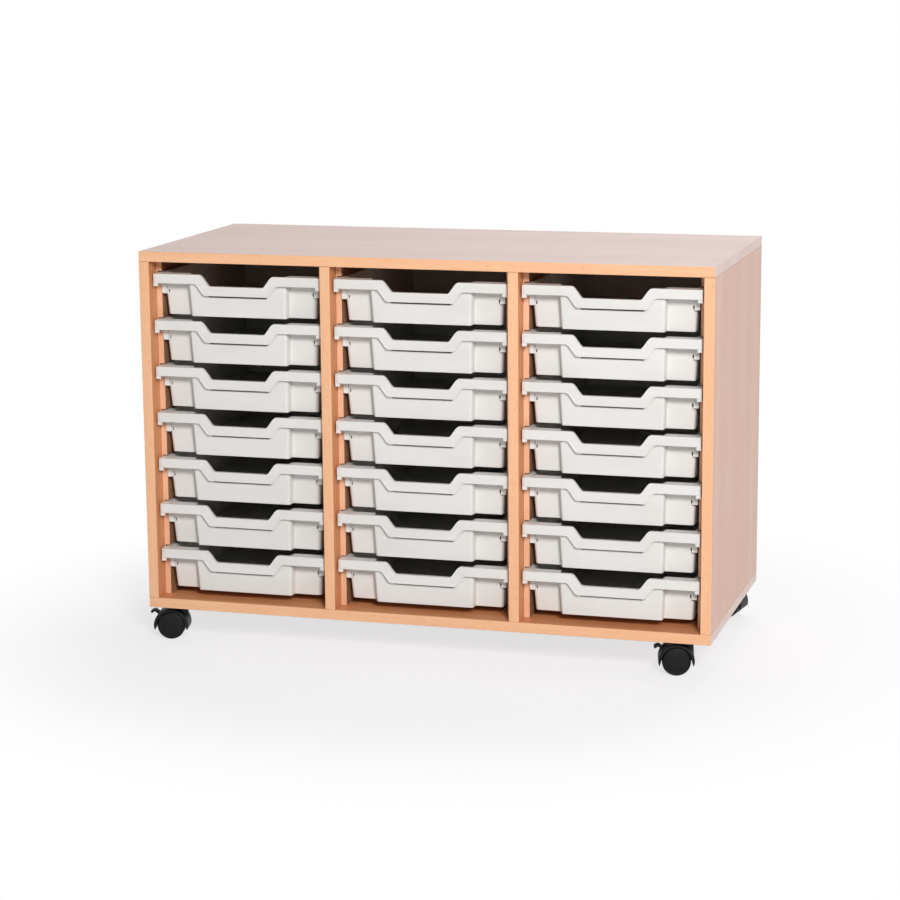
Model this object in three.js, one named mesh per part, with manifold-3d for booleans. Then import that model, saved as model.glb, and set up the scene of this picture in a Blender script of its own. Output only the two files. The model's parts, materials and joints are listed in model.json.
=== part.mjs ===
// Classroom tray storage unit: a faced-board carcass on castors, with three bays of shallow trays.
// Millimetres. X runs to the right, Y from the front to the back, Z up. The floor is at Z = 0 and the
// origin is under the middle of the carcass.
import * as THREE from "three";
import { mergeVertices } from "three/addons/utils/BufferGeometryUtils.js";
import Module from "manifold-3d";

const wasm = await Module();
wasm.setup();

// Fits
const SEAM = 0.3; // gap left between pieces that touch
const RUN = 0.3; // radial gap of a pin that turns in its hole

// Trays
const BAYS = ["left", "middle", "right"];
const ROWS = 7;
const TRAY_W = 312; // over the rim
const TRAY_D = 427;
const TRAY_H = 75;
const TRAY_PITCH = 83.1; // from one row to the next
const WALL = 2.2; // moulded wall and rim thickness
const RIM_W = 11.5; // from the rim's edge to the body's wall
const RIM_H = 9; // skirt at the sides and the back
const BAND_H = 19; // skirt along the front
const DRAFT = 6; // how much narrower the body is at its foot, on each side
const DIP_DEPTH = 20.2; // hand dip in the front
const DIP_HALF_TOP = 67;
const DIP_HALF_FOOT = 53;
const BULGE_HALF = 92; // middle of the front, which stands forward
const BULGE_STEP = 1.5; // slope of the bulge's ends, in plan
const BULGE_SETBACK = 5; // behind the rim's front face
const RECESS_SETBACK = 22.5; // corners of the front
const LUG_H = 6; // lug under each end of the band
const LUG_W = 9;
const LUG_STEP = 6; // bracket behind the lug, below it
const BRACKET_REACH = 24; // from the rim's edge to the bracket's inner end
const BRACKET_SETBACK = 18.5;

// Carcass
const BOARD = 18;
const SIDE_GAP = 3.2; // from the rim to the board beside it
const FLOOR_GAP = 14.4; // under the lowest tray
const HEAD_GAP = 22.2; // over the highest rim
const TRAY_SETBACK = 10.8; // rim behind the carcass's front
const TRAY_BACK_GAP = 16.5;
const BACK_T = 8;
const BACK_INSET = 6;
const BAY_W = TRAY_W + 2 * SIDE_GAP;
const CARCASS_W = BAYS.length * BAY_W + (BAYS.length + 1) * BOARD;
const CARCASS_D = TRAY_SETBACK + TRAY_D + TRAY_BACK_GAP + BACK_T + BACK_INSET;
const INNER_H = FLOOR_GAP + TRAY_H + (ROWS - 1) * TRAY_PITCH + HEAD_GAP;
const CARCASS_H = INNER_H + 2 * BOARD;
const FRONT_Y = -CARCASS_D / 2;
const BACK_Y = CARCASS_D / 2 - BACK_INSET - BACK_T; // front face of the back panel

// Runner panels, with a groove for each rim
const RUNNER_CATCH = 7.6; // how far a rim reaches over its ledge
const RUNNER_T = SIDE_GAP + RUNNER_CATCH;
const RUNNER_SETBACK = 34.5;
const GROOVE_DEPTH = RUNNER_CATCH + 0.7;
const GROOVE_OVER = 2; // space over the rim
const LUG_D = RUNNER_SETBACK - TRAY_SETBACK - 2 * SEAM; // the lugs stop at the runner panels

// Castors
const WHEEL_R = 25;
const WHEEL_W = 17;
const WHEEL_ROUND = 2.5;
const WEB_T = 6; // hood's plate between the wheels
const AXLE_R = 3;
const HOOD_GAP = 1.8; // between tread and hood
const HOOD_T = 4.7;
const HOOD_R = WHEEL_R + HOOD_GAP + HOOD_T;
const HOOD_W = WEB_T + 2 * WHEEL_W + 4;
const HOOD_DROOP = 13; // degrees that the hood's ends reach below the axle
const BOSS_R = 9.5; // swivel boss
const BOSS_RISE = 4; // boss above the hood
const TRAIL = 20; // axle behind the kingpin
const KINGPIN_R = 4;
const KINGPIN_LENGTH = 9;
const PLATE = 42; // square mounting plate
const PLATE_T = 2.5;
const PLATE_INSET = 47; // front kingpins from the carcass's sides
const PLATE_SETBACK = 44; // front kingpins from the carcass's front
const REAR_PLATE_INSET = 27; // rear kingpins from the carcass's sides
const REAR_PLATE_SETBACK = 31; // rear kingpins from the carcass's back
const FRONT_TURN = 13; // degrees that the front castors are turned on their kingpins
const REAR_TURN = 9;
const HOOD_TOP = WHEEL_R + HOOD_R + BOSS_RISE;
const PLATE_Z = HOOD_TOP + SEAM;
const CARCASS_Z = PLATE_Z + PLATE_T + SEAM;

// Brake lever
const LEVER_W = 13;
const LEVER_T = 4.6;
const LEVER_ANGLE = 140; // degrees round the axle to the pivot
const LEVER_REACH = 9; // straight part, out of the hood
const LEVER_HOOK = 10; // bent part, beyond it
const LEVER_GAP = 1;
const PIVOT_R = 1.2;
const PIVOT_LENGTH = 2;
const BARREL_R = 2.1;

const beech = new THREE.MeshStandardMaterial({ color: 0xe4c9b4, roughness: 0.55, metalness: 0 });
const dark = new THREE.MeshStandardMaterial({ color: 0x3a3230, roughness: 0.8, metalness: 0 });
const pale = new THREE.MeshStandardMaterial({ color: 0xe9b98d, roughness: 0.6, metalness: 0 });
const grey = new THREE.MeshStandardMaterial({ color: 0xdedcd8, roughness: 0.4, metalness: 0 });
const black = new THREE.MeshStandardMaterial({ color: 0x242322, roughness: 0.5, metalness: 0 });
const tyre = new THREE.MeshStandardMaterial({ color: 0x1d1c1b, roughness: 0.7, metalness: 0 });
const steel = new THREE.MeshStandardMaterial({ color: 0xb0b2b4, roughness: 0.35, metalness: 1 });

// Turns a closed three.js geometry into a solid for boolean work.
function solid(geometry) {
  const bare = geometry.clone();
  bare.deleteAttribute("normal");
  bare.deleteAttribute("uv");
  const merged = mergeVertices(bare, 1e-4);
  return new wasm.Manifold(
    new wasm.Mesh({
      numProp: 3,
      vertProperties: new Float32Array(merged.attributes.position.array),
      triVerts: new Uint32Array(merged.index.array),
    }),
  );
}

// Adds up, or cuts away, a list of solids.
const joined = (solids) => solids.reduce((sum, next) => sum.add(next));
const cut = (body, tools) => tools.reduce((rest, tool) => rest.subtract(tool), body);

// Makes a named mesh from a solid.
function piece(name, body, material) {
  const { numProp, vertProperties, triVerts } = body.getMesh();
  const geometry = new THREE.BufferGeometry();
  const flat = new Float32Array((vertProperties.length / numProp) * 3);
  for (let i = 0; i < flat.length / 3; i += 1)
    for (let k = 0; k < 3; k += 1) flat[3 * i + k] = vertProperties[numProp * i + k];
  geometry.setAttribute("position", new THREE.BufferAttribute(flat, 3));
  geometry.setIndex(Array.from(triVerts));
  geometry.computeVertexNormals();
  const mesh = new THREE.Mesh(geometry, material.clone());
  mesh.name = name;
  return mesh;
}

function assembly(name, members) {
  const group = new THREE.Group();
  group.name = name;
  group.add(...members);
  return group;
}

// A box between two corners.
function boxGeometry(low, high) {
  const size = high.map((value, k) => value - low[k]);
  const middle = high.map((value, k) => (value + low[k]) / 2);
  return new THREE.BoxGeometry(...size).translate(...middle);
}

const box = (low, high) => solid(boxGeometry(low, high));

// Two values, the lower one first.
const ordered = (a, b) => [Math.min(a, b), Math.max(a, b)];

// Rounds the corners of an outline. Each corner is [x, y, radius].
function softened(corners, steps = 2) {
  const points = [];
  corners.forEach(([x, y, radius], i) => {
    const here = new THREE.Vector2(x, y);
    if (!radius) return points.push(here);
    const [px, py] = corners[(i + corners.length - 1) % corners.length];
    const [nx, ny] = corners[(i + 1) % corners.length];
    const before = new THREE.Vector2(px, py).sub(here).normalize();
    const after = new THREE.Vector2(nx, ny).sub(here).normalize();
    const half = Math.acos(THREE.MathUtils.clamp(before.dot(after), -1, 1)) / 2;
    const back = radius / Math.tan(half);
    const start = here.clone().addScaledVector(before, back);
    const end = here.clone().addScaledVector(after, back);
    const curve = new THREE.QuadraticBezierCurve(start, here, end);
    return points.push(...curve.getPoints(steps));
  });
  return points;
}

// A prism with its outline in plan, from one height to another.
function planPrism(points, low, high) {
  const shape = new THREE.Shape(points);
  return new THREE.ExtrudeGeometry(shape, { depth: high - low, bevelEnabled: false }).translate(0, 0, low);
}

// A prism with its outline in the X-Z plane, from one depth to another.
function sidePrism(points, front, back) {
  const shape = new THREE.Shape(points);
  const geometry = new THREE.ExtrudeGeometry(shape, { depth: back - front, bevelEnabled: false });
  return geometry.rotateX(Math.PI / 2).translate(0, back, 0);
}

// An upright cylinder, or one that lies along Y.
const post = (radius, low, high, x, y, sides = 24) =>
  solid(
    new THREE.CylinderGeometry(radius, radius, high - low, sides)
      .rotateX(Math.PI / 2)
      .translate(x, y, (low + high) / 2),
  );
const bar = (radius, front, back, x, z, sides = 24) =>
  solid(
    new THREE.CylinderGeometry(radius, radius, back - front, sides).translate(x, (front + back) / 2, z),
  );

// Points on a circle, between two angles in degrees.
const arc = (radius, from, to, steps) =>
  Array.from({ length: steps + 1 }, (_, i) => {
    const angle = THREE.MathUtils.degToRad(from + ((to - from) * i) / steps);
    return new THREE.Vector2(radius * Math.cos(angle), radius * Math.sin(angle));
  });

// Trays. A tray is drawn with its rim's front face at Y = 0 and its foot at Z = 0.

// Plan of the tray's body at the rim, moved inwards by an inset.
function bodyPlan(inset) {
  const half = TRAY_W / 2 - RIM_W - inset;
  const bulge = BULGE_HALF - inset;
  const front = BULGE_SETBACK + inset;
  const recess = RECESS_SETBACK + inset;
  const back = TRAY_D - RIM_W - inset;
  return softened([
    [-half, recess, 5],
    [-bulge - BULGE_STEP, recess, 2],
    [-bulge, front, 3],
    [bulge, front, 3],
    [bulge + BULGE_STEP, recess, 2],
    [half, recess, 5],
    [half, back, 12],
    [-half, back, 12],
  ]);
}

// Narrows a body towards its foot, so that it leaves its mould.
function drafted(geometry) {
  const at = geometry.attributes.position;
  const middle = TRAY_D / 2;
  const acrossRate = DRAFT / (TRAY_W / 2);
  const alongRate = DRAFT / (TRAY_D / 2);
  for (let i = 0; i < at.count; i += 1) {
    const fall = (TRAY_H - at.getZ(i)) / TRAY_H;
    at.setX(i, at.getX(i) * (1 - acrossRate * fall));
    at.setY(i, middle + (at.getY(i) - middle) * (1 - alongRate * fall));
  }
  return geometry;
}

// Corners of the front's upper line, from left to right, lowered by a thickness.
function dipLine(lower, radius) {
  const slope = Math.atan2(DIP_DEPTH, DIP_HALF_TOP - DIP_HALF_FOOT);
  const spread = lower * Math.tan(slope / 2);
  const top = TRAY_H - lower;
  const foot = top - DIP_DEPTH;
  return [
    [-TRAY_W / 2, top, 0],
    [-DIP_HALF_TOP - spread, top, radius],
    [-DIP_HALF_FOOT - spread, foot, radius],
    [DIP_HALF_FOOT + spread, foot, radius],
    [DIP_HALF_TOP + spread, top, radius],
    [TRAY_W / 2, top, 0],
  ];
}

// A strip that follows the dipped front, from the front face back to a depth.
function dippedStrip(height, depth) {
  const outline = softened([...dipLine(height, 5), ...dipLine(0, 7).reverse()]);
  return solid(sidePrism(outline, 0, depth));
}

// Lug and bracket under one end of the front band.
function trayLug(side) {
  const edge = (TRAY_W / 2) * side;
  const span = (from, to) => ordered(edge - from * side, edge - to * side);
  const block = ([x0, x1], y0, y1, z0) => box([x0, y0, z0], [x1, y1, TRAY_H - WALL / 2]);
  const foot = TRAY_H - BAND_H - LUG_H;
  const bracket = span(LUG_W, BRACKET_REACH);
  return joined([
    block(span(0, WALL), 0, LUG_D, foot),
    block(span(0, LUG_W), 0, WALL, foot),
    block(span(0, RIM_W), LUG_D - WALL, LUG_D, foot),
    block(bracket, BRACKET_SETBACK, RECESS_SETBACK + RIM_W, foot - LUG_STEP),
  ]);
}

function traySolid() {
  const half = TRAY_W / 2;
  const rim = softened([
    [-half, 0, 2],
    [half, 0, 2],
    [half, TRAY_D, 5],
    [-half, TRAY_D, 5],
  ]);
  const within = softened([
    [-half + WALL, WALL, 0],
    [half - WALL, WALL, 0],
    [half - WALL, TRAY_D - WALL, 3],
    [-half + WALL, TRAY_D - WALL, 3],
  ]);
  const skirt = solid(planPrism(rim, TRAY_H - RIM_H, TRAY_H)).subtract(
    solid(planPrism(within, TRAY_H - RIM_H - 1, TRAY_H - WALL)),
  );
  const outside = joined([
    solid(drafted(planPrism(bodyPlan(0), 0, TRAY_H))),
    skirt,
    dippedStrip(BAND_H, WALL),
    dippedStrip(WALL, RECESS_SETBACK + WALL),
    trayLug(-1),
    trayLug(1),
  ]);
  const hollow = solid(drafted(planPrism(bodyPlan(WALL), WALL, TRAY_H + 1)));
  const clear = TRAY_H + 5;
  const over = softened([...dipLine(0, 7), [half, clear, 0], [-half, clear, 0]]);
  const dip = solid(sidePrism(over, -1, RECESS_SETBACK + 2 * WALL));
  return cut(outside, [hollow, dip]);
}

const bayX = (bay) => -CARCASS_W / 2 + BOARD + bay * (BAY_W + BOARD); // inner face on a bay's left
const rimTop = (row) => CARCASS_Z + BOARD + FLOOR_GAP + TRAY_H + (ROWS - 1 - row) * TRAY_PITCH;

// All trays are one moulding, set down in each bay and row.
function trays() {
  const moulding = traySolid();
  return BAYS.map((bay, i) => {
    const places = Array.from({ length: ROWS }, (_, row) => [
      bayX(i) + BAY_W / 2,
      FRONT_Y + TRAY_SETBACK,
      rimTop(row) - TRAY_H,
    ]);
    return assembly(
      `trays_${bay}`,
      places.map((place, row) => piece(`tray_${bay}_${row + 1}`, moulding.translate(place), grey)),
    );
  });
}

// Carcass

function panels() {
  const [x, y] = [CARCASS_W / 2, CARCASS_D / 2];
  const under = CARCASS_Z + BOARD;
  const over = under + INNER_H;
  const upright = (name, left, back) =>
    piece(name, box([left, -y, under + SEAM], [left + BOARD, back, over - SEAM]), beech);
  return assembly("carcass_panels", [
    piece("top_panel", box([-x, -y, over], [x, y, over + BOARD]), beech),
    piece("bottom_panel", box([-x, -y, CARCASS_Z], [x, y, under]), beech),
    upright("left_side_panel", -x, y),
    upright("right_side_panel", x - BOARD, y),
    upright("left_divider", bayX(1) - BOARD, BACK_Y - SEAM),
    upright("right_divider", bayX(2) - BOARD, BACK_Y - SEAM),
    piece(
      "back_panel",
      box([-x + BOARD + SEAM, BACK_Y, under + SEAM], [x - BOARD - SEAM, BACK_Y + BACK_T, over - SEAM]),
      dark,
    ),
  ]);
}

// One runner panel, with its flat face on the board at X and its grooves facing the bay.
function runner(name, x, side) {
  const low = CARCASS_Z + BOARD + SEAM;
  const high = low + INNER_H - 2 * SEAM;
  const front = FRONT_Y + RUNNER_SETBACK;
  const back = BACK_Y - SEAM;
  const slab = (from, to, y0, y1, z0, z1) => {
    const [x0, x1] = ordered(x + from * side, x + to * side);
    return box([x0, y0, z0], [x1, y1, z1]);
  };
  const grooves = Array.from({ length: ROWS }, (_, row) =>
    slab(
      RUNNER_T - GROOVE_DEPTH,
      RUNNER_T + 1,
      front - 1,
      back + 1,
      rimTop(row) - RIM_H - SEAM,
      rimTop(row) + GROOVE_OVER,
    ),
  );
  return piece(name, cut(slab(SEAM, RUNNER_T, front, back, low, high), grooves), pale);
}

const runners = () =>
  assembly(
    "runner_panels",
    BAYS.flatMap((bay, i) => [
      runner(`runner_${bay}_bay_left`, bayX(i), 1),
      runner(`runner_${bay}_bay_right`, bayX(i) + BAY_W, -1),
    ]),
  );

// Castors. A castor is drawn with its axle at X = 0, Y = 0, Z = WHEEL_R and its kingpin at X = TRAIL.

const onAxle = (points) => points.map((point) => new THREE.Vector2(point.x, point.y + WHEEL_R));

// Where the brake lever turns, in the hood's shell.
const pivot = arc(WHEEL_R + HOOD_GAP + BARREL_R + SEAM, LEVER_ANGLE, LEVER_ANGLE, 1)[0];

function plateSolid() {
  const half = PLATE / 2;
  const corners = [
    [-half, -half, 4],
    [half, -half, 4],
    [half, half, 4],
    [-half, half, 4],
  ].map(([x, y, radius]) => [x + TRAIL, y, radius]);
  const plate = solid(planPrism(softened(corners), PLATE_Z, PLATE_Z + PLATE_T));
  return plate.add(post(KINGPIN_R, PLATE_Z - KINGPIN_LENGTH, PLATE_Z + PLATE_T / 2, TRAIL, 0));
}

// Opening in the hood for the lever, or nothing on a castor without a brake.
function leverSlot() {
  const [from, to] = [LEVER_ANGLE - 17, LEVER_ANGLE + 24];
  const wedge = [...arc(HOOD_R + 6, from, to, 4), ...arc(WHEEL_R + 0.5, to, from, 4)];
  const reach = LEVER_W / 2 + LEVER_GAP;
  const holeReach = LEVER_W / 2 + PIVOT_LENGTH + LEVER_GAP;
  return [
    solid(sidePrism(onAxle(wedge), -reach, reach)),
    bar(PIVOT_R + RUN, -holeReach, holeReach, pivot.x, pivot.y + WHEEL_R, 12),
  ];
}

function hoodSolid(braked) {
  const half = HOOD_W / 2;
  const inner = WHEEL_R + HOOD_GAP;
  const [from, to] = [-HOOD_DROOP, 180 + HOOD_DROOP];
  const shell = [...arc(HOOD_R, from, to, 22), ...arc(inner, to, from, 18)];
  const boss = post(BOSS_R, WHEEL_R, HOOD_TOP, TRAIL, 0).subtract(bar(inner, -half, half, 0, WHEEL_R, 36));
  const web = [...arc(HOOD_R - HOOD_T / 2, 0, 180, 18), ...arc(AXLE_R + 5, 180, 360, 8)];
  const body = joined([
    solid(sidePrism(onAxle(shell), -half, half)),
    boss,
    solid(sidePrism(onAxle(web), -WEB_T / 2, WEB_T / 2)),
  ]);
  const bores = [
    bar(AXLE_R + SEAM, -half, half, 0, WHEEL_R),
    post(KINGPIN_R + RUN, PLATE_Z - KINGPIN_LENGTH - SEAM, HOOD_TOP + 1, TRAIL, 0),
  ];
  return cut(body, braked ? [...bores, ...leverSlot()] : bores);
}

// A wheel on the front or the back of the web, closed on its outer face.
function wheelSolid(side) {
  const [inside, outside] = [0, WHEEL_W];
  const bore = WHEEL_W - 4;
  const profile = [
    [0, bore],
    [AXLE_R + RUN, bore],
    [AXLE_R + RUN, inside],
    [WHEEL_R - WHEEL_ROUND, inside],
    [WHEEL_R - WHEEL_ROUND / 4, WHEEL_ROUND / 4],
    [WHEEL_R, WHEEL_ROUND],
    [WHEEL_R, outside - WHEEL_ROUND],
    [WHEEL_R - WHEEL_ROUND / 4, outside - WHEEL_ROUND / 4],
    [WHEEL_R - WHEEL_ROUND, outside],
    [0, outside],
  ].map(([radius, along]) => new THREE.Vector2(radius, along));
  const lathe = new THREE.LatheGeometry(profile, 32);
  const turned = side < 0 ? lathe.rotateX(Math.PI) : lathe;
  return solid(turned.translate(0, side * (WEB_T / 2 + SEAM * 1.5), WHEEL_R));
}

const axleSolid = () => {
  const reach = WEB_T / 2 + WHEEL_W - 5;
  return bar(AXLE_R, -reach, reach, 0, WHEEL_R);
};

// A hooked pedal on a barrel with two short pins.
function leverSolid() {
  const out = arc(1, LEVER_ANGLE, LEVER_ANGLE, 1)[0];
  const down = (angle) => out.clone().rotateAround(new THREE.Vector2(), THREE.MathUtils.degToRad(angle));
  const knee = pivot.clone().addScaledVector(out, LEVER_REACH);
  const mid = knee.clone().addScaledVector(down(48), LEVER_HOOK / 2);
  const tip = mid.clone().addScaledVector(down(88), LEVER_HOOK / 2);
  const spine = [pivot, knee, mid, tip];
  const normals = [out, down(24), down(68), down(88)].map((way) => new THREE.Vector2(-way.y, way.x));
  const edge = (offset) => spine.map((point, i) => point.clone().addScaledVector(normals[i], offset));
  const pedal = [...edge(-LEVER_T / 2), ...edge(LEVER_T / 2).reverse()];
  const half = LEVER_W / 2;
  return joined([
    solid(sidePrism(onAxle(pedal), -half, half)),
    bar(BARREL_R, -half, half, pivot.x, pivot.y + WHEEL_R, 16),
    bar(PIVOT_R, -half - PIVOT_LENGTH, half + PIVOT_LENGTH, pivot.x, pivot.y + WHEEL_R, 12),
  ]);
}

// A castor on a kingpin at X and Y, turned by an angle in degrees. Its wheels trail to the left, or to the
// right where it is mirrored.
function castor(name, [x, y], turn, { braked = false, mirrored = false } = {}) {
  const onKingpin = (body) => body.translate([-TRAIL, 0, 0]);
  const pointed = (body) => (mirrored ? body.mirror([1, 0, 0]) : body).rotate([0, 0, turn]);
  const at = (body) => pointed(onKingpin(body)).translate([x, y, 0]);
  const members = [
    piece(`${name}_plate`, onKingpin(plateSolid()).translate([x, y, 0]), steel),
    piece(`${name}_hood`, at(hoodSolid(braked)), black),
    piece(`${name}_axle`, at(axleSolid()), steel),
    piece(`${name}_wheel_front`, at(wheelSolid(-1)), tyre),
    piece(`${name}_wheel_back`, at(wheelSolid(1)), tyre),
  ];
  if (braked) members.push(piece(`${name}_brake_lever`, at(leverSolid()), black));
  return assembly(name, members);
}

function castors() {
  const [x, y] = [CARCASS_W / 2 - PLATE_INSET, CARCASS_D / 2 - PLATE_SETBACK];
  const [rearX, rearY] = [CARCASS_W / 2 - REAR_PLATE_INSET, CARCASS_D / 2 - REAR_PLATE_SETBACK];
  return assembly("castors", [
    castor("castor_front_left", [-x, -y], FRONT_TURN, { braked: true }),
    castor("castor_front_right", [x, -y], FRONT_TURN, { braked: true }),
    castor("castor_back_left", [-rearX, rearY], REAR_TURN, { mirrored: true }),
    castor("castor_back_right", [rearX, rearY], -REAR_TURN),
  ]);
}

const unit = assembly("tray_storage_unit", [panels(), runners(), ...trays(), castors()]);

export default unit;
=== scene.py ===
"""Looks of a classroom tray storage unit: a beech-effect carcass on castors, with three bays of grey trays.

Every length is in metres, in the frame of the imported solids: X to the right, Y from front to back, Z up.
"""

import json
import logging
import math
from collections.abc import Callable, Iterable, Sequence
from dataclasses import dataclass
from enum import Enum

import bmesh
import bpy
from bmesh.types import BMEdge, BMesh, BMFace, BMVert
from mathutils import Matrix, Quaternion, Vector


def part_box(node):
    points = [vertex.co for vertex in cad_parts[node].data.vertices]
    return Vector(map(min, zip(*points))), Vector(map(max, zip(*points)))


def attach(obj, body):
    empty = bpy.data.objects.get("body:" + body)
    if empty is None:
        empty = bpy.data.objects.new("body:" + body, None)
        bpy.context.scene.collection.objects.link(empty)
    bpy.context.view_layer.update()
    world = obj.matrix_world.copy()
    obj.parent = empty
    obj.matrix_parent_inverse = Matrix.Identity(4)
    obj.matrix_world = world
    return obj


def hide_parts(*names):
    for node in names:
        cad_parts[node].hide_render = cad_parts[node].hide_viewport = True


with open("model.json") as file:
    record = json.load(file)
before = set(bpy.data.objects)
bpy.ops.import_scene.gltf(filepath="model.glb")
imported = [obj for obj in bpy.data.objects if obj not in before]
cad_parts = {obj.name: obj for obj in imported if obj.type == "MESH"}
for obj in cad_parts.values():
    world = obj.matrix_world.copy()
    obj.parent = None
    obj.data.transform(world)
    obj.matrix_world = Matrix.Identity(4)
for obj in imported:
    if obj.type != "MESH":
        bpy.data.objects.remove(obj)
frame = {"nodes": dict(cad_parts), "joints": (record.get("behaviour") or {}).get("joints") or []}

LOG = logging.getLogger("tray_unit")
CARCASS = "carcass"
Colour = tuple[float, float, float, float]
Material = bpy.types.Material
Mesh = bpy.types.Mesh


def tone(red: int, green: int, blue: int) -> Colour:
    """Turns a colour as it looks on a screen into the linear colour that a shader takes.

    Args:
        red: Red, from 0 to 255.
        green: Green, from 0 to 255.
        blue: Blue, from 0 to 255.

    Returns:
        The linear colour, with full alpha.
    """
    linear = []
    for part in (red, green, blue):
        share = part / 255
        linear.append(share / 12.92 if share <= 0.04045 else ((share + 0.055) / 1.055) ** 2.4)
    return (linear[0], linear[1], linear[2], 1.0)


# Shader graphs


class Value:
    """A shader socket that takes part in Python arithmetic."""

    def __init__(self, graph: "Graph", socket: bpy.types.NodeSocket) -> None:
        """Wraps a socket of a graph."""
        self.graph = graph
        self.socket = socket

    def _math(self, operation: str, first: "Value | float", second: "Value | float") -> "Value":
        """Adds one Math node for an operation on two values."""
        inputs = {0: first, 1: second}
        return self.graph.value("ShaderNodeMath", {"operation": operation}, inputs)

    def __add__(self, other: "Value | float") -> "Value":
        """Adds."""
        return self._math("ADD", self, other)

    __radd__ = __add__

    def __sub__(self, other: "Value | float") -> "Value":
        """Takes another value away from this one."""
        return self._math("SUBTRACT", self, other)

    def __rsub__(self, other: "Value | float") -> "Value":
        """Takes this value away from another one."""
        return self._math("SUBTRACT", other, self)

    def __mul__(self, other: "Value | float") -> "Value":
        """Multiplies."""
        return self._math("MULTIPLY", self, other)

    __rmul__ = __mul__

    def above(self, level: float, blend: float) -> "Value":
        """Rises smoothly from 0 to 1 where this value passes a level.

        Args:
            level: Where the rise starts.
            blend: How far the rise goes on.

        Returns:
            The share, from 0 to 1.
        """
        inputs = {"Value": self, "From Min": level, "From Max": level + blend}
        return self.graph.value("ShaderNodeMapRange", {"interpolation_type": "SMOOTHSTEP"}, inputs)


class Graph:
    """The node graph of a material or of the world."""

    def __init__(self, owner: Material | bpy.types.World) -> None:
        """Gives the owner its nodes."""
        owner.use_nodes = True
        self.owner = owner
        self.tree = owner.node_tree

    def node(
        self,
        kind: str,
        settings: dict[str, object] | None = None,
        inputs: dict[str | int, object] | None = None,
    ) -> bpy.types.Node:
        """Adds a node.

        Args:
            kind: The node's type.
            settings: Its properties, set first. The name stops gives a colour ramp's stops.
            inputs: A value or a link for each of its sockets, by name or place.

        Returns:
            The node.
        """
        node = self.tree.nodes.new(kind)
        for name, setting in (settings or {}).items():
            if name == "stops":
                self._stops(node.color_ramp.elements, setting)
            else:
                setattr(node, name, setting)
        for name, given in (inputs or {}).items():
            self.feed(node.inputs[name], given)
        return node

    def value(
        self,
        kind: str,
        settings: dict[str, object] | None = None,
        inputs: dict[str | int, object] | None = None,
        output: str | int = 0,
    ) -> Value:
        """Adds a node and returns one of its outputs, as node() does with the rest."""
        return Value(self, self.node(kind, settings, inputs).outputs[output])

    def feed(self, socket: bpy.types.NodeSocket, given: object) -> None:
        """Sets a socket, or links it to a value."""
        if isinstance(given, Value):
            self.tree.links.new(given.socket, socket)
        else:
            socket.default_value = given

    @staticmethod
    def _stops(elements: bpy.types.ColorRampElements, stops: Sequence[tuple[float, Colour]]) -> None:
        """Gives a colour ramp its stops."""
        while len(elements) < len(stops):
            elements.new(1.0)
        for element, (place, colour) in zip(elements, stops):
            element.position = place
            element.color = colour

    def place(self, scale: Sequence[float] = (1, 1, 1), turn: Sequence[float] = (0, 0, 0)) -> Value:
        """Object coordinates, stretched and turned for a pattern.

        Args:
            scale: How much finer the pattern is along each axis.
            turn: Turn about each axis, in radians.

        Returns:
            The coordinates.
        """
        spot = self.value("ShaderNodeTexCoord", output="Object")
        return self.value("ShaderNodeMapping", None, {"Vector": spot, "Scale": scale, "Rotation": turn})

    def noise(self, place: Value, scale: float, detail: float = 2.0, roughness: float = 0.5) -> Value:
        """A noise pattern about the level 0.5, with its features one over scale metres wide."""
        inputs = {"Vector": place, "Scale": scale, "Detail": detail, "Roughness": roughness}
        return self.value("ShaderNodeTexNoise", None, inputs)

    def mix(self, share: Value, first: object, second: object) -> Value:
        """Mixes two colours by a share."""
        inputs = {0: share, 6: first, 7: second}
        return self.value("ShaderNodeMix", {"data_type": "RGBA"}, inputs, 2)

    def bump(self, height: Value, distance: float, strength: float = 1.0) -> Value:
        """A surface normal from a height of 0 to 1 times a distance in metres."""
        inputs = {"Height": height, "Distance": distance, "Strength": strength}
        return self.value("ShaderNodeBump", None, inputs)

    def seen(self) -> Value:
        """Tells 1 for a ray that shows something to the camera: straight on, in gloss or through glass."""
        rays = self.node("ShaderNodeLightPath").outputs
        gloss, glass = Value(self, rays["Is Glossy Ray"]), Value(self, rays["Is Transmission Ray"])
        return (Value(self, rays["Is Camera Ray"]) + gloss + glass).above(0.0, 1.0)

    def finish(self, **sockets: object) -> Material:
        """Feeds the shader's sockets, named with underscores, and returns the material."""
        shader = self.tree.nodes["Principled BSDF"]
        for name, given in sockets.items():
            self.feed(shader.inputs[name.replace("_", " ")], given)
        return self.owner


# Finishes


class Grain(Enum):
    """The axis that the printed grain of a board runs along, as the pattern's stretch."""

    ACROSS = (0.06, 1.0, 1.0)
    UPRIGHT = (1.0, 1.0, 0.06)


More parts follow.
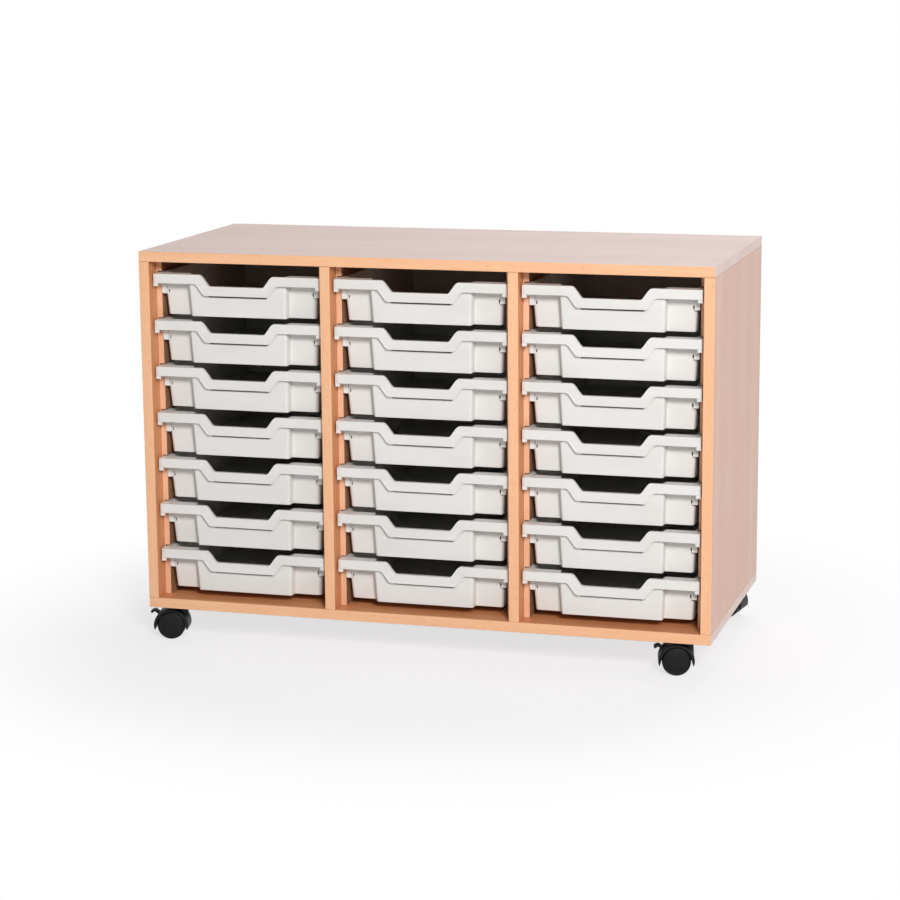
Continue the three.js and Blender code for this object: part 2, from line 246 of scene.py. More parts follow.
@dataclass(frozen=True)
class BeechPrint:
    """Melamine facing or lipping with a printed beech grain.

    Attributes:
        name: The material's name.
        pale: The colour between the growth lines.
        deep: The colour of the growth lines.
        fleck: The colour of the short flecks.
        grain: The way the grain runs.
        roughness: The facing's roughness.
        gloss: The strength of its reflections.
    """

    name: str
    pale: Colour
    deep: Colour
    fleck: Colour
    grain: Grain
    roughness: float = 0.36
    gloss: float = 0.5

    def material(self) -> Material:
        """Builds the facing: broad bands, fine lines and short flecks along the grain.

        Returns:
            The material.
        """
        graph = Graph(bpy.data.materials.new(self.name))
        along = graph.place(self.grain.value)
        bands = graph.noise(along, 16.0, 3.0, 0.55)
        lines = graph.noise(along, 150.0, 4.0, 0.6)
        short = graph.place([part**0.62 for part in self.grain.value])
        flecks = graph.noise(short, 620.0, 1.0, 0.4).above(0.63, 0.07)
        depth = (bands * 0.62 + lines * 0.38).above(0.34, 0.34)
        wood = graph.mix(depth, self.pale, self.deep)
        colour = graph.mix(flecks * 0.42, wood, self.fleck)
        handled = graph.noise(graph.place(), 9.0, 3.0)
        rough = self.roughness + (handled - 0.5) * 0.14 + flecks * 0.06
        relief = lines * 0.6 + flecks * 0.4
        return graph.finish(
            Base_Color=colour,
            Roughness=rough,
            Normal=graph.bump(relief, 0.00004),
            Specular_IOR_Level=self.gloss,
        )


@dataclass(frozen=True)
class Fibreboard:
    """Matt fibreboard, with a cloud of fine fibres."""

    name: str
    pale: Colour
    deep: Colour
    roughness: float = 0.75

    def material(self) -> Material:
        """Builds the board.

        Returns:
            The material.
        """
        graph = Graph(bpy.data.materials.new(self.name))
        fibres = graph.noise(graph.place((1.0, 1.0, 0.35)), 900.0, 3.0, 0.6)
        clouds = graph.noise(graph.place(), 24.0, 3.0)
        colour = graph.mix((fibres * 0.5 + clouds * 0.5).above(0.35, 0.3), self.pale, self.deep)
        return graph.finish(
            Base_Color=colour,
            Roughness=self.roughness + (fibres - 0.5) * 0.2,
            Normal=graph.bump(fibres, 0.00006),
        )


@dataclass(frozen=True)
class Moulding:
    """Moulded plastic with a fine spark-eroded texture, slight flow clouds and handling marks."""

    name: str
    colour: Colour
    cloud: Colour
    roughness: float
    texture: float = 0.00003
    pitch: float = 1500.0
    gloss: float = 0.5

    def material(self) -> Material:
        """Builds the plastic.

        Returns:
            The material.
        """
        graph = Graph(bpy.data.materials.new(self.name))
        flow = graph.noise(graph.place((0.5, 1.0, 1.6)), 11.0, 4.0, 0.55)
        pits = graph.noise(graph.place(), self.pitch, 2.0, 0.6)
        scuffs = graph.noise(graph.place((4.0, 1.0, 1.0)), 60.0, 5.0, 0.65).above(0.6, 0.12)
        colour = graph.mix(flow.above(0.35, 0.4), self.colour, self.cloud)
        return graph.finish(
            Base_Color=colour,
            Roughness=self.roughness + (flow - 0.5) * 0.12 + scuffs * 0.08,
            Normal=graph.bump(pits + scuffs * 0.5, self.texture),
            Specular_IOR_Level=self.gloss,
        )


@dataclass(frozen=True)
class Plating:
    """Plated steel with rolled lines and dull patches."""

    name: str
    colour: Colour
    dull: Colour

    def material(self) -> Material:
        """Builds the plating.

        Returns:
            The material.
        """
        graph = Graph(bpy.data.materials.new(self.name))
        rolled = graph.noise(graph.place((0.05, 1.0, 1.0)), 1400.0, 3.0, 0.6)
        patches = graph.noise(graph.place(), 90.0, 3.0)
        return graph.finish(
            Base_Color=graph.mix(patches.above(0.4, 0.3), self.colour, self.dull),
            Roughness=0.3 + patches * 0.25 + (rolled - 0.5) * 0.1,
            Normal=graph.bump(rolled, 0.00001),
            Metallic=1.0,
        )


class Finishes:
    """All finishes of the unit, each built once."""

    def __init__(self) -> None:
        """Builds the materials."""
        # One beech melamine in lit and shaded tones: top and face are paled by painted sheen, and inside is
        # warmed to orange by painted bounce light.
        top = (tone(231, 211, 205), tone(224, 202, 195), tone(210, 182, 172))
        face = (tone(222, 186, 169), tone(214, 176, 158), tone(197, 156, 137))
        inside = (tone(220, 155, 108), tone(205, 136, 91), tone(176, 110, 73))
        edge = (tone(246, 192, 150), tone(239, 181, 138), tone(214, 152, 111))
        self.sheen_lit_face_across = BeechPrint("beech_face_across", *top, Grain.ACROSS, 0.6, 0.24).material()
        self.sheen_lit_face_upright = BeechPrint("beech_face_upright", *face, Grain.UPRIGHT, 0.4, 0.15).material()
        self.face_back = BeechPrint("beech_face_back", *face, Grain.ACROSS, 0.5, 0.2).material()
        self.bounce_lit_inside_across = BeechPrint("beech_inside_across", *inside, Grain.ACROSS, 0.45).material()
        self.bounce_lit_inside_upright = BeechPrint("beech_inside_upright", *inside, Grain.UPRIGHT, 0.45).material()
        self.lip_across = BeechPrint("beech_lipping_across", *edge, Grain.ACROSS, 0.42).material()
        self.lip_upright = BeechPrint("beech_lipping_upright", *edge, Grain.UPRIGHT, 0.42).material()
        # The back's inner face is near-black: painted shade for the dark depths of the bays.
        self.back = Fibreboard("shade_black_back_board", tone(14, 12, 11), tone(9, 8, 7), 0.85).material()
        pale_edge = (tone(242, 192, 158), tone(228, 174, 138))
        self.runner_edge = Fibreboard("runner_edge", *pale_edge, 0.55).material()
        # The runner face is darker than its front edge as painted shade.
        self.shaded_runner_face = Fibreboard("shaded_runner_face", tone(164, 120, 88), tone(134, 96, 70), 0.6).material()
        self.tray = Moulding("tray_plastic", tone(229, 227, 224), tone(223, 221, 217), 0.42).material()
        black = (tone(15, 14, 14), tone(11, 10, 10))
        self.hood = Moulding("castor_plastic", *black, 0.46, 0.00005, gloss=0.22).material()
        self.wheel = Moulding("wheel_plastic", *black, 0.5, 0.00004, gloss=0.2).material()
        self.steel = Plating("zinc_plating", tone(196, 198, 202), tone(160, 160, 158)).material()
        # The mounting plates' near-black plating is painted shade from under the bottom panel.
        self.shade_dark_steel = Plating("shade_dark_plating", tone(52, 52, 54), tone(36, 36, 37)).material()


# Mesh work


def bevel(bm: BMesh, edges: Iterable[BMEdge], radius: float, segments: int = 2) -> None:
    """Rounds edges.

    Args:
        bm: The mesh.
        edges: The edges to round.
        radius: The size of the rounding.
        segments: The number of faces across it.
    """
    bmesh.ops.bevel(
        bm,
        geom=list(edges),
        offset=radius,
        offset_type="OFFSET",
        segments=segments,
        profile=0.5,
        affect="EDGES",
        clamp_overlap=True,
        material=-1,
    )


def sharp_edges(bm: BMesh, angle: float = 40.0) -> list[BMEdge]:
    """Lists the edges whose faces meet at more than an angle in degrees."""
    limit = math.radians(angle)
    return [edge for edge in bm.edges if len(edge.link_faces) == 2 and edge.calc_face_angle(0.0) > limit]


def add_box(bm: BMesh, low: Vector, high: Vector, radius: float = 0.0, segments: int = 2) -> list[BMFace]:
    """Adds a box between two corners, with its edges rounded.

    Args:
        bm: The mesh.
        low: The lowest corner.
        high: The highest corner.
        radius: The size of the rounding.
        segments: The number of faces across it.

    Returns:
        The faces of the box.
    """
    part = bmesh.new()
    bmesh.ops.create_cube(part, size=1.0)
    bmesh.ops.scale(part, vec=high - low, verts=part.verts)
    bmesh.ops.translate(part, vec=(low + high) / 2, verts=part.verts)
    if radius:
        bevel(part, part.edges, radius, segments)
    return absorb(bm, part)


def absorb(bm: BMesh, part: BMesh) -> list[BMFace]:
    """Moves the geometry of one mesh into another, and returns the faces there."""
    before = len(bm.faces)
    carrier = bpy.data.meshes.new("carrier")
    part.to_mesh(carrier)
    part.free()
    bm.from_mesh(carrier)
    bpy.data.meshes.remove(carrier)
    bm.faces.ensure_lookup_table()
    return bm.faces[before:]


def turned(profile: Sequence[tuple[float, float]], steps: int) -> BMesh:
    """Turns a profile about the Y axis.

    Args:
        profile: Pairs of a radius and a place along Y, in order.
        steps: The number of faces round the turn.

    Returns:
        The turned mesh.
    """
    bm = bmesh.new()
    points = [bm.verts.new((0.0, along, radius)) for radius, along in profile]
    chain = [bm.edges.new(pair) for pair in zip(points, points[1:])]
    bmesh.ops.spin(
        bm,
        geom=points + chain,
        cent=(0, 0, 0),
        axis=(0, 1, 0),
        angle=math.tau,
        steps=steps,
        use_merge=True,
    )
    bmesh.ops.remove_doubles(bm, verts=bm.verts, dist=1e-6)
    bmesh.ops.recalc_face_normals(bm, faces=bm.faces)
    return bm


def outline_prism(outline: Sequence[tuple[float, float]], front: float, back: float) -> BMesh:
    """Extrudes an outline in the X-Z plane along Y.

    Args:
        outline: The corners as pairs of X and Z.
        front: The lower Y.
        back: The higher Y.

    Returns:
        The prism.
    """
    bm = bmesh.new()
    face = bm.faces.new([bm.verts.new((x, front, z)) for x, z in outline])
    grown = bmesh.ops.extrude_face_region(bm, geom=[face])["geom"]
    moved = [item for item in grown if isinstance(item, BMVert)]
    bmesh.ops.translate(bm, vec=(0, back - front, 0), verts=moved)
    bmesh.ops.recalc_face_normals(bm, faces=bm.faces)
    return bm


@dataclass
class Piece:
    """One finished piece of the unit.

    Attributes:
        name: The piece's name.
        body: The body that it rides on.
        slot: The record's material slot; not used.
        stands_for: The solids that it replaces.
    """

    name: str
    body: str
    slot: str
    stands_for: Sequence[str] = ()

    def make(self, source: BMesh | Mesh, materials: Sequence[Material]) -> bpy.types.Object:
        """Turns a mesh into an object of the scene, smooth apart from its sharp edges.

        Args:
            source: The mesh, in the unit's frame.
            materials: Its materials, in the order of its faces' indices.

        Returns:
            The object.
        """
        mesh = source
        if isinstance(source, BMesh):
            mesh = bpy.data.meshes.new(self.name)
            source.to_mesh(mesh)
            source.free()
        for material in materials:
            mesh.materials.append(material)
        mesh.polygons.foreach_set("use_smooth", [True] * len(mesh.polygons))
        mesh.set_sharp_from_angle(angle=math.radians(50))
        made = bpy.data.objects.new(self.name, mesh)
        bpy.context.scene.collection.objects.link(made)
        weighted = made.modifiers.new("weighted_normals", "WEIGHTED_NORMAL")
        weighted.keep_sharp = True
        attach(made, self.body)
        if self.stands_for:
            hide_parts(*self.stands_for)
        LOG.info("%s rides on %s with %d faces", self.name, self.body, len(mesh.polygons))
        return made


# Carcass


class Facing(Enum):
    """The way that a face looks."""

    BELOW = (0, 0, -1)
    ABOVE = (0, 0, 1)
    RIGHT = (1, 0, 0)
    LEFT = (-1, 0, 0)
    BEHIND = (0, 1, 0)


@dataclass
class Screws:
    """A set of domed screw heads with hexagon sockets, on one face of the carcass.

    Attributes:
        name: The set's name.
        facing: The way that the face looks.
        spots: Where the heads stand on it.
        radius: The radius of a head.
    """

    name: str
    facing: Facing
    spots: Sequence[Vector]
    radius: float = 0.0042

    def build(self, finishes: Finishes) -> None:
        """Builds every head, as one piece.

        Args:
            finishes: The unit's finishes.
        """
        bm = bmesh.new()
        turn = Vector((0, 0, 1)).rotation_difference(Vector(self.facing.value)).to_matrix()
        for spot in self.spots:
            head = self._head()
            bmesh.ops.rotate(head, cent=(0, 0, 0), matrix=turn, verts=head.verts)
            bmesh.ops.translate(head, vec=spot, verts=head.verts)
            absorb(bm, head)
        Piece(self.name, CARCASS, "steel").make(bm, [finishes.steel])

    def _head(self) -> BMesh:
        """Makes one head that stands on Z = 0 and looks up, with its socket bridged into its crown."""
        head = bmesh.new()
        bmesh.ops.create_circle(head, cap_ends=True, radius=self.radius, segments=20)
        edges, height = list(head.edges), 0.0
        for shrink, share in ((0.95, 0.22), (0.84, 0.2)):
            edges = self._raise(head, edges, share * self.radius, shrink)
            height += share * self.radius
        outside = set(head.edges)
        crown = bmesh.ops.create_circle(head, radius=0.42 * self.radius, segments=6)["verts"]
        bmesh.ops.translate(head, vec=(0, 0, height), verts=crown)
        socket = [edge for edge in head.edges if edge not in outside]
        bmesh.ops.bridge_loops(head, edges=edges + socket)
        self._raise(head, socket, -0.3 * self.radius, 0.95)
        bmesh.ops.holes_fill(head, edges=head.edges, sides=6)
        bmesh.ops.recalc_face_normals(head, faces=head.faces)
        return head

    @staticmethod
    def _raise(bm: BMesh, edges: list[BMEdge], rise: float, shrink: float) -> list[BMEdge]:
        """Extrudes a loop upwards and draws it in.

        Args:
            bm: The mesh.
            edges: The loop.
            rise: How far the new loop lies above it.
            shrink: The new loop's size, as a share of the old one's.

        Returns:
            The new loop.
        """
        grown = bmesh.ops.extrude_edge_only(bm, edges=edges)["geom"]
        points = [item for item in grown if isinstance(item, BMVert)]
        bmesh.ops.translate(bm, vec=(0, 0, rise), verts=points)
        bmesh.ops.scale(bm, vec=(shrink, shrink, 1), verts=points)
        return [item for item in grown if isinstance(item, BMEdge)]


@dataclass
class Panel:
    """One board of the carcass, with a strip of lipping on its front edge."""

    node: str
    grain: Grain
    inner: Facing
    both: bool = False
    lip: float = 0.002
    seam: float = 0.0002
    arris: float = 0.0006
    lip_arris: float = 0.0011

    def build(self, finishes: Finishes) -> None:
        """Builds the board and its lipping.

        Args:
            finishes: The unit's finishes.
        """
        low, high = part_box(self.node)
        self._board(low, high, finishes)
        self._lipping(low, high, finishes)

    def _board(self, low: Vector, high: Vector, finishes: Finishes) -> None:
        """Makes the faced board behind the lipping."""
        bm = bmesh.new()
        start = low + Vector((0, self.lip + self.seam, 0))
        inner = Vector(self.inner.value)
        add_box(bm, start, high)
        # Faces toward the inner side take the orange tone of painted bounce light; the others take the paler
        # tone of painted sheen.
        for face in bm.faces:
            toward = face.normal.dot(inner)
            face.material_index = int(toward > 0.9 or (self.both and abs(toward) > 0.9))
        bevel(bm, bm.edges, self.arris)
        across = self.grain is Grain.ACROSS
        outside = finishes.sheen_lit_face_across if across else finishes.sheen_lit_face_upright
        inside = finishes.bounce_lit_inside_across if across else finishes.bounce_lit_inside_upright
        Piece(self.node + "_board", CARCASS, "beech_board", [self.node]).make(bm, [outside, inside])

    def _lipping(self, low: Vector, high: Vector, finishes: Finishes) -> None:
        """Makes the strip on the front edge."""
        bm = bmesh.new()
        end = Vector((high.x, low.y + self.lip, high.z))
        add_box(bm, low, end)
        front = [edge for edge in bm.edges if all(abs(vert.co.y - low.y) < 1e-6 for vert in edge.verts)]
        bevel(bm, front, self.lip_arris, 3)
        strip = finishes.lip_across if self.grain is Grain.ACROSS else finishes.lip_upright
        Piece(self.node + "_lipping", CARCASS, "beech_board").make(bm, [strip])


@dataclass
class RunnerPanel:
    """A thin board with a groove for the rim of each tray.

    Attributes:
        node: The panel's solid.
        faces_left: Whether its grooves face left.
        rims: The heights of the trays' rims.
    """

    node: str
    faces_left: bool
    rims: Sequence[float]
    groove: float = 0.0083
    skirt: float = 0.0093
    over: float = 0.002
    arris: float = 0.0004

    def build(self, finishes: Finishes) -> None:
        """Builds the panel, with a pale front edge and a darker face painted as shade.

        Args:
            finishes: The unit's finishes.
        """
        low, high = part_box(self.node)
        flat, open_side, inward = (high.x, low.x, 1) if self.faces_left else (low.x, high.x, -1)
        root = open_side + inward * self.groove
        outline = [(flat, low.z), (flat, high.z), (open_side, high.z)]
        for rim in sorted(self.rims, reverse=True):
            top, ledge = rim + self.over, rim - self.skirt
            outline += [(open_side, top), (root, top), (root, ledge), (open_side, ledge)]
        outline.append((open_side, low.z))
        bm = outline_prism(outline, low.y, high.y)
        # Front faces take the pale edge; the other faces take the darker face of painted shade.
        for face in bm.faces:
            face.material_index = int(face.normal.y < -0.9)
        bevel(bm, sharp_edges(bm), self.arris)
        materials = [finishes.shaded_runner_face, finishes.runner_edge]
        Piece(self.node + "_board", CARCASS, "runner_board", [self.node]).make(bm, materials)


@dataclass
class Carcass:
    """The boards, the back and the runner panels."""

    finishes: Finishes

    def build(self) -> None:
        """Builds every board."""
        panels = [
            Panel("top_panel", Grain.ACROSS, Facing.BELOW),
            Panel("bottom_panel", Grain.ACROSS, Facing.ABOVE),
            Panel("left_side_panel", Grain.UPRIGHT, Facing.RIGHT),
            Panel("right_side_panel", Grain.UPRIGHT, Facing.LEFT),
            Panel("left_divider", Grain.UPRIGHT, Facing.RIGHT, both=True),
            Panel("right_divider", Grain.UPRIGHT, Facing.RIGHT, both=True),
        ]
        for panel in panels:
            panel.build(self.finishes)
        self._back()
        self._runners()
        self._fixings()

    def _back(self) -> None:
        """Builds the back: near-black inside as painted shade, faced outside."""
        low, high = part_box("back_panel")
        bm = bmesh.new()
        add_box(bm, low, high)
        for face in bm.faces:
            face.material_index = int(face.normal.y > 0.9)
        bevel(bm, bm.edges, 0.0005)
        materials = [self.finishes.back, self.finishes.face_back]
        Piece("back_panel_board", CARCASS, "back_board", ["back_panel"]).make(bm, materials)

    def _runners(self) -> None:
        """Builds the runner panels on both sides of each bay."""
        for bay in ("left", "middle", "right"):
            rims = [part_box(f"tray_{bay}_{row}")[1].z for row in range(1, 8)]
            for side in ("left", "right"):
                RunnerPanel(f"runner_{bay}_bay_{side}", side == "right", rims).build(self.finishes)

    def _fixings(self) -> None:
        """Adds the screws that hold the back to the uprights, and the uprights to the bottom panel."""
        uprights = ("left_side_panel", "left_divider", "right_divider", "right_side_panel")
        middles = [(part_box(node)[0].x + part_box(node)[1].x) / 2 for node in uprights]
        low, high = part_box("back_panel")
        inset, rows = 0.03, 4
        columns = (low.x + inset / 2, middles[1], middles[2], high.x - inset / 2)
        step = (high.z - low.z - 2 * inset) / (rows - 1)
        heights = [low.z + inset + row * step for row in range(rows)]
        spots = [Vector((x, high.y, z)) for x in columns for z in heights]
        Screws("back_panel_screws", Facing.BEHIND, spots, 0.0035).build(self.finishes)
        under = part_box("bottom_panel")[0].z
        spots = [Vector((x, y, under)) for x in middles for y in (-0.11, 0.11)]
        Screws("bottom_panel_screws", Facing.BELOW, spots, 0.005).build(self.finishes)


# Trays


@dataclass
class Tray:
    """A shallow moulded tray, drawn with its rim's front face at Y = 0 and its foot at Z = 0."""

    finishes: Finishes
    width: float = 0.312
    depth: float = 0.427
    height: float = 0.075
    wall: float = 0.0022
    rim: float = 0.0115
    skirt: float = 0.009
    band: float = 0.0166
    draft: float = 0.006
    dip_depth: float = 0.0202
    dip_half_top: float = 0.067
    dip_half_foot: float = 0.053
    bulge_half: float = 0.092
    bulge_step: float = 0.0015
    bulge_setback: float = 0.005
    recess_setback: float = 0.0225
    corner: float = 0.0065
    rim_corner: float = 0.003
    bead: float = 0.0035
    bead_rise: float = 0.0003
    bulge_round: float = 0.0048
    recess_round: float = 0.002
    foot_round: float = 0.0044
    lug: float = 0.006
    lug_width: float = 0.009
    lug_depth: float = 0.0231
    lug_step: float = 0.0144
    bracket_reach: float = 0.0156
    bracket_setback: float = 0.0197
    slit_at: float = 0.0194
    slit: float = 0.0024
    slit_drop: float = 0.0134
    slit_height: float = 0.006
    slot_half: float = 0.054
    slot_rise: float = 0.001
    slot_drop: float = 0.0035

    def drafted(self, point: Vector) -> Vector:
        """Moves a point of the body's plan at the rim inwards, as far as its height asks."""
        fall = (self.height - point.z) / self.height
        middle = self.depth / 2
        return Vector(
            (
                point.x * (1 - self.draft / (self.width / 2) * fall),
                middle + (point.y - middle) * (1 - self.draft / middle * fall),
                point.z,
            )
        )

    def dip(self, x: float) -> float:
        """How far the front's upper line is lowered at X."""
        ease = 0.24
        run = self.dip_half_top - self.dip_half_foot
        share = (self.dip_half_top - abs(x)) / run

        def ramp(value: float) -> float:
            """A ramp that starts softly at 0."""
            if value < -ease:
                return 0.0
            return value if value > ease else (value + ease) ** 2 / (4 * ease)

        return self.dip_depth * (ramp(share) - ramp(share - 1))

    def stations(self) -> list[float]:
        """The places across the front where the dip's line bends."""
        run = self.dip_half_top - self.dip_half_foot
        shares = (-0.32, -0.2, -0.08, 0.06, 0.24, 0.5, 0.76, 0.94, 1.08, 1.2, 1.32)
        right = [self.dip_half_top - share * run for share in shares]
        return [-x for x in right] + right

    def _body(self) -> BMesh:
        """Makes the drafted body, open at the top, with its corners and its foot rounded."""
        half = self.width / 2 - self.rim
        bulge = self.bulge_half
        recess, front, back = self.recess_setback, self.bulge_setback, self.depth - self.rim
        side = [(bulge, front), (bulge + self.bulge_step, recess), (half, recess), (half, back)]
        plan = side + [(-x, y) for x, y in reversed(side)]
        bm = bmesh.new()
        foot = bm.faces.new([bm.verts.new(self.drafted(Vector((x, y, 0)))) for x, y in plan])
        grown = bmesh.ops.extrude_face_region(bm, geom=[foot])["geom"]
        top = [item for item in grown if isinstance(item, BMVert)]
        widen = (1 / (1 - self.draft / (self.width / 2)), 1 / (1 - self.draft / (self.depth / 2)), 1)
        centre = Matrix.Translation((0, -self.depth / 2, 0))
        bmesh.ops.scale(bm, vec=widen, space=centre, verts=top)
        bmesh.ops.translate(bm, vec=(0, 0, self.height - self.wall), verts=top)
        bmesh.ops.recalc_face_normals(bm, faces=bm.faces)
        between = (front + recess) / 2
        rounds = (
            (lambda x, y: abs(x) > bulge + self.rim, self.corner, 5),
            (lambda x, y: y < between, self.bulge_round, 4),
            (lambda x, y: abs(x) < bulge + self.rim and y > between, self.recess_round, 3),
        )
        for chosen, radius, segments in rounds:
            upright = [edge for edge in bm.edges if abs(edge.verts[0].co.z - edge.verts[1].co.z) > 0.03]
            bevel(bm, [edge for edge in upright if chosen(*edge.verts[0].co.xy)], radius, segments)
        lowest = [face for face in bm.faces if face.normal.z < -0.9]
        bevel(bm, {edge for face in lowest for edge in face.edges}, self.foot_round, 4)
        bmesh.ops.delete(bm, geom=[face for face in bm.faces if face.normal.z > 0.9], context="FACES")
        bmesh.ops.remove_doubles(bm, verts=bm.verts, dist=0.0001)
        return bm

    def _lower_front(self, bm: BMesh) -> None:
        """Cuts the front at each station of the dip and lowers its upper edge."""
        for x in self.stations():
            everything = [*bm.verts, *bm.edges, *bm.faces]
            bmesh.ops.bisect_plane(bm, geom=everything, plane_co=(x, 0, 0), plane_no=(1, 0, 0))
        top = self.height - self.wall
        for vert in bm.verts:
            if vert.co.z > top - 1e-5 and vert.co.y < self.depth / 4:
                vert.co = self.drafted(Vector((vert.co.x, vert.co.y, top - self.dip(vert.co.x))))

    def _on_rim(self, point: Vector, edge: float) -> Vector:
        """The place on the rim's edge that belongs to a point on the body's upper edge.

        Args:
            point: The point on the body.
            edge: How far inside the tray's outline the rim's edge lies.

        Returns:
            The point on the rim.
        """
        half = self.width / 2 - self.rim
        bend = self.bulge_half + self.bulge_step
        near, far = self.recess_setback + self.corner, self.depth - self.rim - self.corner
        reach = self.width / 2 - edge
        inset = reach - self.rim_corner
        x, y, side = abs(point.x), point.y, math.copysign(1.0, point.x)
        middle_y = edge + self.rim_corner
        if near <= y <= far and x > half - self.corner:
            share = (y - near) / (far - near)
            spot = (reach, middle_y + share * (self.depth - 2 * middle_y))
        elif x <= half - self.corner:
            share = max(0.0, (x - bend) / (half - self.corner - bend))
            across = x + share * (inset - (half - self.corner))
            spot = (across, edge if y < self.depth / 2 else self.depth - edge)
        else:
            angle = math.atan2(y - (near if y < near else far), x - (half - self.corner))
            start = middle_y if y < near else self.depth - middle_y
            spot = (inset + self.rim_corner * math.cos(angle), start + self.rim_corner * math.sin(angle))
        return Vector((spot[0] * side, spot[1], point.z))

    def _spread(self, x: float) -> float:
        """How far the band's lower line lies outside its upper line, so that the band keeps its height."""
        slope = math.atan2(self.dip_depth, self.dip_half_top - self.dip_half_foot)
        full = self.band * math.tan(slope / 2)
        rise = min(1.0, max(0.0, (abs(x) - 0.012) / 0.028))
        fall = min(1.0, max(0.0, (0.112 - abs(x)) / 0.028))
        return math.copysign(full * min(rise, fall), x)

    def _extend(self, bm: BMesh, edges: list[BMEdge], move: Callable[[Vector], Vector]) -> list[BMEdge]:
        """Extrudes a chain of edges and moves the new chain.

        Args:
            bm: The mesh.
            edges: The chain.
            move: The new place of each point.

        Returns:
            The new chain.
        """
        grown = bmesh.ops.extrude_edge_only(bm, edges=edges)["geom"]
        for item in grown:
            if isinstance(item, BMVert):
                item.co = move(item.co)
        return [item for item in grown if isinstance(item, BMEdge) and item.is_boundary]

    def _rim(self, bm: BMesh) -> None:
        """Adds the rim, its skirt and the bead along the skirt's lower edge."""
        inner = self.wall + self.bead_rise
        edges = [edge for edge in bm.edges if edge.is_boundary]
        edges = self._extend(bm, edges, lambda point: self._on_rim(point, inner))

        def skirt_height(point: Vector) -> float:
            """The skirt's height: the band's in front, and less at the sides and the back."""
            share = min(1.0, max(0.0, (point.y - inner) / self.rim_corner))
            return self.band + share * (self.skirt - self.band)

        def lowered(point: Vector) -> Vector:
            """The point below, at the top of the bead."""
            fall = skirt_height(point) - self.wall - self.bead
            spread = self._spread(point.x) if point.y < 0.01 else 0.0
            return point + Vector((spread, 0, -fall))

        def beaded(point: Vector) -> Vector:
            """The point stepped outwards to the bead."""
            outward = Vector((0, 0, -0.0006))
            if point.y < inner + 0.001:
                outward.y = -self.bead_rise
            elif point.y > self.depth - inner - 0.001:
                outward.y = self.bead_rise
            if abs(point.x) > self.width / 2 - inner - 0.001:
                outward.x = math.copysign(self.bead_rise, point.x)
            return point + outward

        edges = self._extend(bm, edges, lowered)
        edges = self._extend(bm, edges, beaded)
        self._extend(bm, edges, lambda point: point - Vector((0, 0, self.bead - 0.0006)))

    def _slits(self, bm: BMesh) -> None:
        """Cuts a slit through the front wall at each end of the band, and a label slot below the dip."""
        near = self.width / 2 - self.slit_at
        top = self.height - self.band - self.slit_drop
        for side in (-1, 1):
            uprights = (side * near, side * (near - self.slit))
            self._window(bm, uprights, top, top - self.slit_height)
        edge = self.height - self.dip_depth - self.band
        self._window(bm, (-self.slot_half, self.slot_half), edge + self.slot_rise, edge - self.slot_drop)

    def _window(self, bm: BMesh, uprights: tuple[float, float], top: float, foot: float) -> None:
        """Cuts an upright rectangle out of the front wall.

        Args:
            bm: The mesh.
            uprights: Where its two ends are across the front.
            top: The height of its upper edge.
            foot: The height of its lower edge.
        """
        left, right = sorted(uprights)

        def strip() -> list[BMFace]:
            """The faces of the front wall at the window's height."""
            faces = self._front(bm, left, right)
            return [face for face in faces if foot < face.calc_center_median().z < top]

        for z in (top, foot):
            self._cut(bm, self._front(bm, left, right), (0, 0, z), (0, 0, 1))
        for x in (left, right):
            self._cut(bm, strip(), (x, 0, 0), (1, 0, 0))
        opened = [face for face in strip() if left < face.calc_center_median().x < right]
        bmesh.ops.delete(bm, geom=opened, context="FACES")

    def _front(self, bm: BMesh, left: float, right: float) -> list[BMFace]:
        """Lists the faces of the front wall behind the band that reach between two places across it."""
        chosen = []
        for face in bm.faces:
            y = face.calc_center_median().y
            across = [vert.co.x for vert in face.verts]
            behind = self.bulge_setback < y < self.recess_setback + self.corner
            if behind and face.normal.y < -0.3 and min(across) < right and max(across) > left:
                chosen.append(face)
        return chosen

    @staticmethod
    def _cut(bm: BMesh, faces: list[BMFace], spot: Sequence[float], normal: Sequence[float]) -> None:
        """Cuts faces along a plane.

        Args:
            bm: The mesh.
            faces: The faces to cut.
            spot: A point of the plane.
            normal: The way that the plane faces.
        """
        edges = {edge for face in faces for edge in face.edges}
        verts = {vert for face in faces for vert in face.verts}
        bmesh.ops.bisect_plane(bm, geom=[*verts, *edges, *faces], plane_co=spot, plane_no=normal)

    def _lugs(self, bm: BMesh) -> None:
        """Adds the lug and the bracket under each end of the band."""
        wall, rim, edge = self.wall, self.rim, self.lug_width
        foot, behind = self.height - self.band - self.lug, self.recess_setback + wall / 2
        base = foot - self.lug_step
        webs = (
            (self._plank(0.0008, 0.0008 + wall, foot), 0.0011, self.lug_depth),
            (self._plank(0.001, edge, foot + 0.0002), 0.0013, 0.0013 + wall),
            (self._plank(0.001, rim, foot + 0.0002), self.lug_depth - wall, self.lug_depth - 0.0002),
            (self._plank(edge, self.bracket_reach, base), self.bracket_setback, behind),
            (self._plank(edge + 0.0002, rim + wall / 2, base + 0.0002), behind - 0.0004, behind + rim),
        )
        for outline, start, end in webs:
            self._web(bm, outline, start, end)

    def _plank(self, near: float, far: float, low: float) -> list[tuple[float, float]]:
        """Outlines an upright web: where it starts and ends from the tray's edge, and its lower edge."""
        top = self.height - self.wall / 2
        return [(near, low), (far, low), (far, top), (near, top)]

